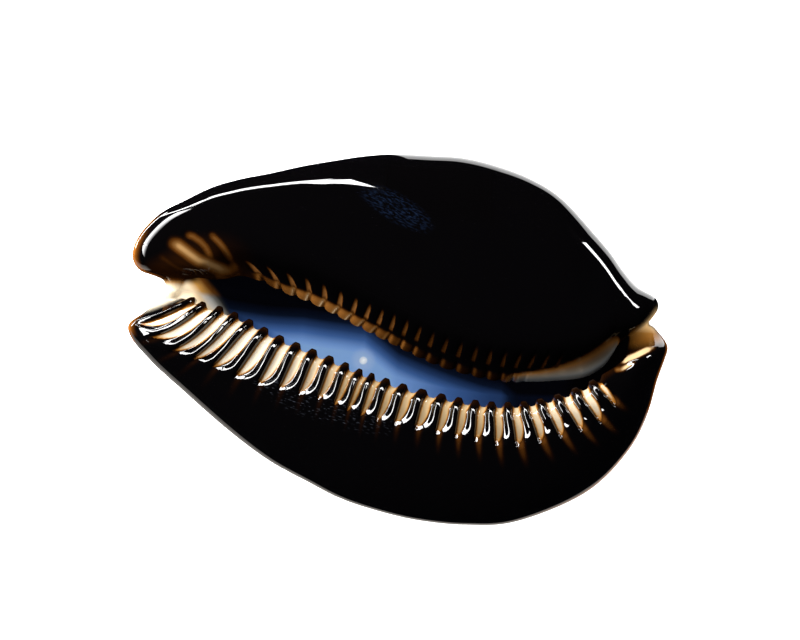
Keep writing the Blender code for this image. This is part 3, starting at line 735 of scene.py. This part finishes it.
# %% Numbers from the skin
material, w = start("cowrie_enamel")
number = {name: w.node("ShaderNodeAttribute", {"attribute_name": name}, 2)
          for name in KEPT + AROUND + ["profile"]}
where = w.node("ShaderNodeTexCoord", output=3)
split = w.node("ShaderNodeSeparateXYZ", i0=where)
x = split / MM
y = Wire(w.tree, split.socket.node.outputs[1]) / MM
profile = number["profile"]
columella = number["inner"]
inside = (profile + columella * 0.75).until(2.35, 2.75)
print("numbers read:", len(number))

# %% [markdown]
# Lips.  The cream of a groove runs through amber and umber to black within about two thirds of a
# millimetre, as thin enamel over a pale layer does.  The grooves of the outer lip are palest at the
# front, and brown tails run on past them, strongest toward the rear.  Every finish is a ramp over
# its own number from the skin, and they are laid over each other like coats.

# %% Lip colours
dark = number["away"].until(0.0, 1.2).larger(number["beak"] * number["away"].until(5.0, 9.0))
black = dark.ramp((0.0, ENAMEL), (1.0, UMBER))
floor_colour = number["pale"].ramp((0.0, CREAM), (1.0, IVORY))
groove = (number["groove"] - 0.36) * 1.45
grooves = groove.ramp((0.0, ENAMEL), (0.22, UMBER), (0.38, BROWN), (0.52, (0.20, 0.075, 0.010)),
                      (0.68, (0.36, 0.19, 0.06)))
grooves = grooves.under(floor_colour, groove.between(0.58, 0.95))
tails = number["tail"].ramp((0.0, ENAMEL), (0.30, UMBER), (0.75, BROWN), (1.0, AMBER))
marks = number["mark"].ramp((0.0, ENAMEL), (0.2, UMBER), (0.5, BROWN), (0.9, (0.100, 0.040, 0.010)))
# tan beads; the palest stops carry the painted highlight on each bead's end
beads = number["bead"].ramp((0.0, ENAMEL), (0.12, UMBER), (0.28, BROWN), (0.46, (0.110, 0.042, 0.008)),
                            (0.80, (0.200, 0.105, 0.038)), (0.97, (0.480, 0.340, 0.190)))
# smooth rear of the inner lip: brown at the rim, then a grey painted reflection below it
spoon = number["spoon"].ramp((0.0, ENAMEL), (0.10, BROWN), (0.30, (0.130, 0.058, 0.015)),
                             (0.55, (0.100, 0.078, 0.054)), (0.8, REFLECTED_GREY))
folds = number["fold"].ramp((0.0, ENAMEL), (0.22, UMBER), (0.5, BROWN), (0.8, (0.085, 0.040, 0.011)),
                            (1.0, (0.170, 0.095, 0.036)))
colour = black.under(tails, number["tail"].between(0.05, 0.5))
colour = colour.under(grooves, groove.between(0.14, 0.38))
colour = colour.under(spoon, number["spoon"].between(0.0, 0.12))
for name, coat in (("mark", marks), ("bead", beads), ("fold", folds)):
    colour = colour.under(coat, number[name].between(0.02, 0.3))
print("coats on the lips:", 6)

# %% [markdown]
# Scratch glints and a blue sheen.  A patch of fine scratch marks lies on the outer lip, painted as
# pale specks that stand in for light glinting off them, and a painted blue reflection lies beside
# the long highlight.  Each is a soft ellipse broken into short strokes that run along it: noise
# stretched one way costs nothing, where cuts in the skin would need far more faces.

# %% Scratch glints and blue sheen
def strokes(centre, direction, half_length, half_width, density):
    """A soft ellipse of short strokes: where it lies, the way it runs, its size and how full it is."""
    c, s = math.cos(math.radians(direction)), math.sin(math.radians(direction))
    dx, dy = x - centre[0], y - centre[1]
    along, across = dx * c + dy * s, dy * c - dx * s
    off = along * along / half_length ** 2 + across * across / half_width ** 2
    spread = w.node("ShaderNodeCombineXYZ", i0=along * 1.1, i1=across * 6.0, i2=0.0)
    grain = w.node("ShaderNodeTexNoise", None, 0, Vector=spread, Scale=1.0, Detail=2.0)
    return off.until(0.2, 1.0) * grain.between(density, density + 0.12) * profile.between(3.0, 3.5)


scratches_and_glints = strokes((-10.5, -10.6), -15.0, 13.0, 3.2, 0.60)
painted_blue_sheen = strokes((-1.6, 19.2), -26.0, 7.0, 2.4, 0.50)
# painted light: pale specks for glints off the scratches, and a painted blue reflection
colour = colour.under(solid((0.034, 0.038, 0.048)), scratches_and_glints * 0.6)
colour = colour.under(solid((0.0045, 0.0095, 0.024)), painted_blue_sheen * 0.55)
print("scuffed patches:", 2)

# %% [markdown]
# Back.  The shell rests on it, and its pattern is a guess: chestnut, with paler round drops, as if
# the last coat of enamel were thin there.  Cells of even size give round drops without drawing any.

# %% Back colours
DROPS_A_METRE = 190.0
drops = w.node("ShaderNodeTexVoronoi", None, 0, Vector=where, Scale=DROPS_A_METRE)
back = w.mixed(solid(CHESTNUT), solid(HONEY), drops.until(0.20, 0.34))
colour = colour.under(back, profile.between(5.05, 5.35))
print("drops about", round(1000 / DROPS_A_METRE, 1), "mm apart")

# %% [markdown]
# Thin rims.  Where the enamel is thin light comes through it and it looks amber; that light is
# painted in as an amber colour, broadly at the two front tips, and as a fine line along the rear of
# the outline.

# %% Rim colours
broad = number["edge"].until(0.0, 1.4) * number["thin"].between(0.4, 1.0)
narrow = number["edge"].until(0.05, 0.5) * number["thin"].between(0.0, 0.35)
thin = broad.larger(narrow) * profile.band(4.0, 4.3, 5.0, 5.45)
rims = thin.ramp((0.0, ENAMEL), (0.3, UMBER), (0.7, BROWN), (1.0, AMBER))
colour = colour.under(rims, thin.between(0.0, 0.3))
print("rim colours mixed")

# %% [markdown]
# Hollow.  On the real shell light comes through the thin back and glows inside, bluest under the
# outer lip and dark under the inner one.  Here that light and shade are painted: the lining's colour
# and its own glow carry them, which keeps the blue where it belongs whatever the lamps do.  The
# painted light rises and falls along the shell, fades into painted shade away from a line that
# follows the outer lip, and has a painted highlight spot.

# %% Hollow colours
# where the glow starts and how long it is, in mm; then places along it and how strong it is there
GLOW_START = -34.0
GLOW_LENGTH = 60.0
GLOW_ALONG = [(0.0, 0.15), (0.13, 0.20), (0.23, 0.48), (0.32, 0.76), (0.42, 0.95), (0.48, 1.04),
              (0.52, 0.90), (0.57, 0.70), (0.67, 0.55), (0.79, 0.37), (0.84, 0.32), (0.88, 0.08)]
HIGHLIGHT_SPOT = (-5.2, -4.1)
# painted light and shade of the hollow: strongest part way along, darker towards the inner lip
lip_line = x * -0.198 + x * x * 0.00546 - 6.33
below_lip = y - lip_line
strength = ((x - GLOW_START) / GLOW_LENGTH).ramp(*[(place, (level,) * 3) for place, level in GLOW_ALONG])
glow = strength * 1.3 - below_lip.larger(0.0) * 0.17
blue = glow.ramp((0.0, (0.001, 0.001, 0.002)), (0.25, (0.003, 0.006, 0.016)),
                 (0.45, (0.016, 0.040, 0.115)), (0.65, (0.048, 0.115, 0.300)),
                 (0.85, (0.150, 0.280, 0.560)), (1.0, (0.220, 0.380, 0.660)))
to_spot_x, to_spot_y = x - HIGHLIGHT_SPOT[0], y - HIGHLIGHT_SPOT[1]
off_spot = to_spot_x * to_spot_x + to_spot_y * to_spot_y
# a painted highlight spot inside the hollow, with a pale blue halo round it
blue = blue.under(solid((0.42, 0.52, 0.70)), off_spot.until(0.0, 5.0) * 0.45)
blue = blue.under(solid((0.95, 0.95, 0.90)), off_spot.until(0.0, 0.55) * 0.85)
strongest = max(GLOW_ALONG, key=lambda stop: stop[1])[0]
print("glow is strongest at x, mm:", round(GLOW_START + strongest * GLOW_LENGTH, 1))

# %% [markdown]
# Canals.  The front canal is lined with ivory, which turns grey along its floor and brown up its
# side before it goes black: that darkening is painted shade where the canal runs down into the
# hollow.  The rear canal is amber with one cream fold.

# %% Canal colours
slanted = (x + (y - 3.7) * 0.85 + 36.0) / 10.0
lining = slanted.ramp((0.0, (0.58, 0.53, 0.43)), (0.30, (0.58, 0.52, 0.41)), (0.50, (0.54, 0.45, 0.31)),
                      (0.60, (0.36, 0.28, 0.17)), (0.66, (0.29, 0.26, 0.22)), (0.72, (0.20, 0.19, 0.17)),
                      (0.79, (0.065, 0.062, 0.055)), (0.86, (0.010, 0.010, 0.009)),
                      (0.94, (0.001, 0.001, 0.001)))
browner = slanted.ramp((0.0, (0.45, 0.42, 0.35)), (0.55, (0.36, 0.30, 0.21)),
                       (0.70, (0.20, 0.105, 0.026)), (0.85, (0.043, 0.0145, 0.0022)),
                       (0.97, (0.001, 0.001, 0.001)))
lining = lining.under(browner, y.between(4.0, 5.0))
# a painted dark patch of shade high in the canal beside the beak
lining = lining.under(solid((0.003, 0.001, 0.0005)), y.between(5.6, 6.8) * x.until(-31.5, -29.5))
lined = (x + (y - 3.7) * 0.6).until(-27.6, -26.4)
hollow = blue.under(lining, lined)
# painted shade: the rear of the hollow turns black
hollow = hollow.under(solid(ENAMEL), x.between(25.0, 28.0))
canal = number["front"] * profile.until(4.9, 5.3) * x.between(-41.0, -38.5)
canal_colour = y.between(5.1, 6.9).ramp((0.0, IVORY), (0.5, TAN), (0.8, BROWN), (1.0, UMBER))
colour = colour.under(canal_colour, canal)
rear = number["rear"] * profile.until(4.4, 4.9) * x.between(33.0, 39.5)
rear_colour = y.between(1.6, 4.2).ramp((0.0, (0.160, 0.062, 0.009)), (0.5, (0.190, 0.085, 0.017)),
                                       (1.0, (0.400, 0.260, 0.115)))
colour = colour.under(rear_colour, rear * 0.9)
cream_line = number["fold"].between(0.35, 0.80) * x.between(33.2, 34.2)
colour = colour.under(solid(CREAM), cream_line)
base = w.mixed(colour, hollow, inside)
print("canals lined")

# %% [markdown]
# Painted glow.  The thin rims, the canals and the hollow give out a little of their own colour, a
# painted glow that stands in for light through thin shell; everything else gives out none.

# %% Glow
painted_glow = w.mixed(solid(NO_LIGHT), solid((0.18, 0.052, 0.005)), thin)
painted_glow = painted_glow.under(solid((0.34, 0.30, 0.22)), canal * 0.6 * y.until(4.8, 6.2))
painted_glow = painted_glow.under(rear_colour, rear * 0.9)
painted_hollow_glow = w.mixed(solid(NO_LIGHT), hollow, lined * 0.6 + 0.4)
light = w.mixed(painted_glow, painted_hollow_glow, inside)
print("glow mixed")

# %% [markdown]
# Gloss.  The lips carry a hard clear coat, which is what makes the long white highlights.  It is
# left off inside and in the furrow along the inner lip, and also where no highlight should show: on
# the beak's inner face, on the rim beside the front canal, in the rear canal but for two narrow
# glints, and on a patch to the right of the long highlight.  In the front canal it is thin.

# %% Gloss and finish
furrow = columella * number["away"].until(5.0, 8.0) * (1.0 - number["spoon"].between(0.0, 0.2) * 0.4)
dull_tip = x.until(-33.0, -31.0) * y.between(4.0, 6.0) * number["edge"].between(1.3, 2.1)
dull_lip = x.until(-22.0, -19.0) * y.between(4.0, 6.0) * number["away"].until(1.0, 2.2)
glints = x.band(34.1, 34.6, 35.5, 36.0) + x.band(37.3, 37.6, 38.2, 38.6)
dull_rear = x.between(29.5, 31.5) * number["away"].until(2.6, 3.4) * (1.0 - glints)
rubbed = x.band(-3.9, -3.3, 12.0, 14.0) * y.band(17.0, 19.0, 25.3, 26.3)
gloss = 1.0 - inside
for dull in (furrow, canal * 0.7, dull_tip, dull_lip, dull_rear, rubbed, number["rear"] * 0.85):
    gloss = gloss * (1.0 - dull)
shader = w.node("ShaderNodeBsdfPrincipled", None, 0, Base_Color=base, Roughness=0.5, IOR=1.5,
                Specular_IOR_Level=0.0, Coat_Weight=gloss, Coat_Roughness=0.035, Coat_IOR=1.5,
                Emission_Color=light, Emission_Strength=1.5)
finish_with(material, shader)
shell.data.materials.append(material)
print("enamel nodes:", len(material.node_tree.nodes))

# %% [markdown]
# The stage.  A glossy black shell shows little but what it mirrors, so its light is made of
# separate soft shapes.  It stands on a plain pale table that glows a little, like a light box, and
# that its polish doesn't mirror.

# %% Floor
FLOOR_HALF = 3.0
floor_mesh = bpy.data.meshes.new("floor")
floor_corners = [(sx * FLOOR_HALF, sy * FLOOR_HALF, 0) for sx, sy in ((-1, -1), (1, -1), (1, 1), (-1, 1))]
floor_mesh.from_pydata(floor_corners, [], [(0, 1, 2, 3)])
floor = bpy.data.objects.new("floor", floor_mesh)
bpy.context.scene.collection.objects.link(floor)
pale, w = start("pale_floor")
shader = w.node("ShaderNodeBsdfPrincipled", None, 0, Base_Color=solid((0.9, 0.9, 0.9)), Roughness=0.9,
                Emission_Color=solid((1.0, 1.0, 1.0)), Emission_Strength=1.0)
finish_with(pale, shader)
floor_mesh.materials.append(pale)
floor.visible_glossy = False
print("floor, metres across:", 2 * FLOOR_HALF)

# %% [markdown]
# Where the shell turns down to the table it mirrors the table beside it.  Two glowing cards lie
# there: a warm one beside the outer lip for the fine line along it, and a bright one beside the
# inner lip's rear half for the broad pale edge.  Only the gloss sees them.

# %% Rim cards
CARD_LIFT = 0.0005


def rim_card(name, outline, colour, strength):
    """A glowing card on the table, seen only in the gloss of the shell's turned-down edges."""
    mesh = bpy.data.meshes.new(name)
    mesh.from_pydata([(*point, CARD_LIFT) for point in outline], [], [tuple(range(len(outline)))])
    card = bpy.data.objects.new(name, mesh)
    bpy.context.scene.collection.objects.link(card)
    glow, w = start(name)
    shader = w.node("ShaderNodeBsdfPrincipled", None, 0, Base_Color=solid(NO_LIGHT), Roughness=1.0,
                    Emission_Color=solid(colour), Emission_Strength=strength)
    finish_with(glow, shader)
    mesh.materials.append(glow)
    card.visible_camera = False
    card.visible_diffuse = False
    card.visible_shadow = False


rim_card("front_card", [(-0.11, -0.06), (0.06, -0.06), (0.06, -0.015), (-0.11, -0.015)],
         (1.0, 0.93, 0.84), 0.8)
rim_card("back_card", [(-0.004, 0.030), (0.030, 0.016), (0.041, 0.013), (0.10, 0.05), (0.14, 0.14),
                       (-0.004, 0.14)], (1.0, 1.0, 1.0), 4.0)
print("cards:", 2)

# %% [markdown]
# Lamps.  Each lamp is a long soft strip, placed by the direction in which the shell mirrors it.
# Three in a row draw the long streak along the shoulder, two at the left draw the hooks on the
# teeth, one draws the streak at the rear and a thin one the line on the beak.  A wide dim panel
# lights the hollow, and the polish doesn't mirror it.

# %% Lamps
TURN = math.radians(3.66)
AIM = (0.00008, 0.00254, 0.033)


def toward(azimuth, elevation, distance):
    """A point seen from the shell; azimuth 0 is to the right of the picture, 90 is up."""
    a, e = math.radians(azimuth) + TURN, math.radians(elevation)
    direction = Vector((math.cos(e) * math.cos(a), math.cos(e) * math.sin(a), math.sin(e)))
    return Vector(AIM) + distance * direction


def strip_light(name, start, end, distance, breadth, power, mirrored=True):
    """A long soft light whose two ends lie in two directions, each azimuth and elevation."""
    first, last = toward(*start, distance), toward(*end, distance)
    middle = (first + last) / 2
    data = bpy.data.lights.new(name, "AREA")
    data.shape = "RECTANGLE"
    data.size, data.size_y = (last - first).length, breadth
    data.energy = power
    lamp = bpy.data.objects.new(name, data)
    long = (last - first).normalized()
    back = (middle - Vector(AIM)).normalized()
    side = back.cross(long).normalized()
    lamp.rotation_euler = Matrix((long, side, long.cross(side))).transposed().to_euler()
    lamp.location = middle
    lamp.visible_glossy = mirrored
    bpy.context.scene.collection.objects.link(lamp)


# name, the directions of its two ends, distance and breadth in metres, and power in watts
STRIPS = [
    ("streak_right", (84, 44.5), (92, 34), 0.45, 0.06, 0.9),
    ("streak_left", (92, 34), (121, 22), 0.45, 0.06, 1.6),
    ("streak_tail", (121, 21), (133, -10), 0.45, 0.012, 0.6),
    ("side_left", (125, 27), (165, 27), 0.45, 0.10, 3.0),
    ("side_far_left", (165, 27), (205, 29), 0.45, 0.10, 3.0),
    ("rear_streak", (45, 32), (34, 33), 0.45, 0.09, 0.9),
    ("beak_line", (134, -8), (168, -16), 0.12, 0.004, 0.06),
]
for strip in STRIPS:
    strip_light(*strip)
strip_light("hollow_fill", (180, 80), (0, 80), 0.6, 0.3, 1.3, mirrored=False)
world = bpy.data.worlds.new("dim")
bpy.context.scene.world = world
world.use_nodes = True
world.node_tree.nodes["Background"].inputs["Color"].default_value = (0.004, 0.005, 0.008, 1.0)
print("lamps:", len(STRIPS) + 1)

# %% [markdown]
# The camera looks straight down on the base through a long lens, so the outline hardly tapers.  It
# is turned by the few degrees at which the shell lies in the picture.

# %% Camera
FIELD = 0.120
lens = bpy.data.cameras.new("camera")
lens.lens = 250.0
lens.sensor_width = 36.0
lens.clip_end = 10.0
camera = bpy.data.objects.new("camera", lens)
camera.location = (AIM[0], AIM[1], AIM[2] + FIELD * lens.lens / lens.sensor_width)
camera.rotation_euler = (0.0, 0.0, TURN)
bpy.context.scene.collection.objects.link(camera)
bpy.context.scene.camera = camera
bpy.context.scene.view_settings.view_transform = "Standard"
print("camera height over the lip, metres:", round(camera.location.z - TOP * MM, 3))
